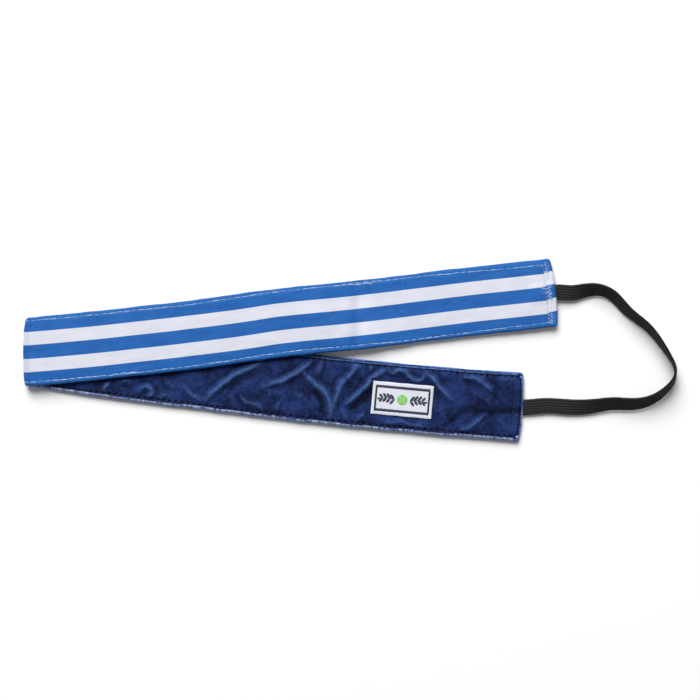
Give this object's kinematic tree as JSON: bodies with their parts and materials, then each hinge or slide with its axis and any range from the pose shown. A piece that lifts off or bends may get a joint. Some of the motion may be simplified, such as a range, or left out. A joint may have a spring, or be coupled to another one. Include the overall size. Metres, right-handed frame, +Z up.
{
  "type": "sports headband",
  "caption": "Striped ribbon headband lined with velvet and closed by a narrow braided elastic, folded flat; it opens at the fold.",
  "frame": {"origin": "on the underside of the lower arm, in the middle of the band, 1 mm past the fold's axis", "axes": "+X from the fold towards the open ends, between the two arms; +Y towards the upper arm's side; +Z up, out of the table"},
  "size_m": [0.2417, 0.0676, 0.0061],
  "materials": {
    "printed_satin": "satin ribbon printed with five equal stripes, three blue and two white",
    "navy_velvet": "short soft velvet pile",
    "braided_elastic": "flat ribbed braid",
    "face_thread": "polyester sewing thread",
    "lining_thread": "polyester sewing thread",
    "label_weave": "damask woven label",
    "label_thread": "polyester sewing thread"
  },
  "bodies": {
    "lower_arm": {"lower_face_ribbon": "printed_satin", "lower_velvet_lining": "navy_velvet", "elastic_lower_tail": "braided_elastic", "lower_face_topstitch": "face_thread", "lower_lining_topstitch": "lining_thread", "lower_hem_seam": "face_thread", "lower_bar_tack": "face_thread", "woven_label": "label_weave", "label_stitch": "label_thread"},
    "upper_arm": {"upper_face_ribbon": "printed_satin", "upper_velvet_lining": "navy_velvet", "elastic_upper_tail": "braided_elastic", "upper_face_topstitch": "face_thread", "upper_lining_topstitch": "lining_thread", "upper_hem_seam": "face_thread", "upper_bar_tack": "face_thread"},
    "elastic_upper": {"elastic_upper_run": "braided_elastic"},
    "elastic_lower": {"elastic_lower_run": "braided_elastic"}
  },
  "joints": [
    {"name": "fold_open", "type": "hinge", "parent": "lower_arm", "child": "upper_arm", "pos_m": [-0.001, 0, 0.0039], "axis": [0, -1, 0], "range_deg": [0, 45]},
    {"name": "elastic_upper_turn", "type": "hinge", "parent": "upper_arm", "child": "elastic_upper", "pos_m": [0.0684, -0.01195, 0.03785], "axis": [0.136, 0.9885, 0.0664], "range_deg": [0, 30.3], "deforming": ["elastic_upper_run"]},
    {"name": "elastic_lower_turn", "type": "hinge", "parent": "lower_arm", "child": "elastic_lower", "pos_m": [-0.09532, -0.04216, -0.10298], "axis": [0.1906, -0.9577, 0.2157], "range_deg": [0, 15.85], "deforming": ["elastic_lower_run"]}
  ],
  "couplings": [
    {"joint": "elastic_upper_turn", "follows": "fold_open", "ratio": 0.67175},
    {"joint": "elastic_lower_turn", "follows": "fold_open", "ratio": 0.35029}
  ]
}
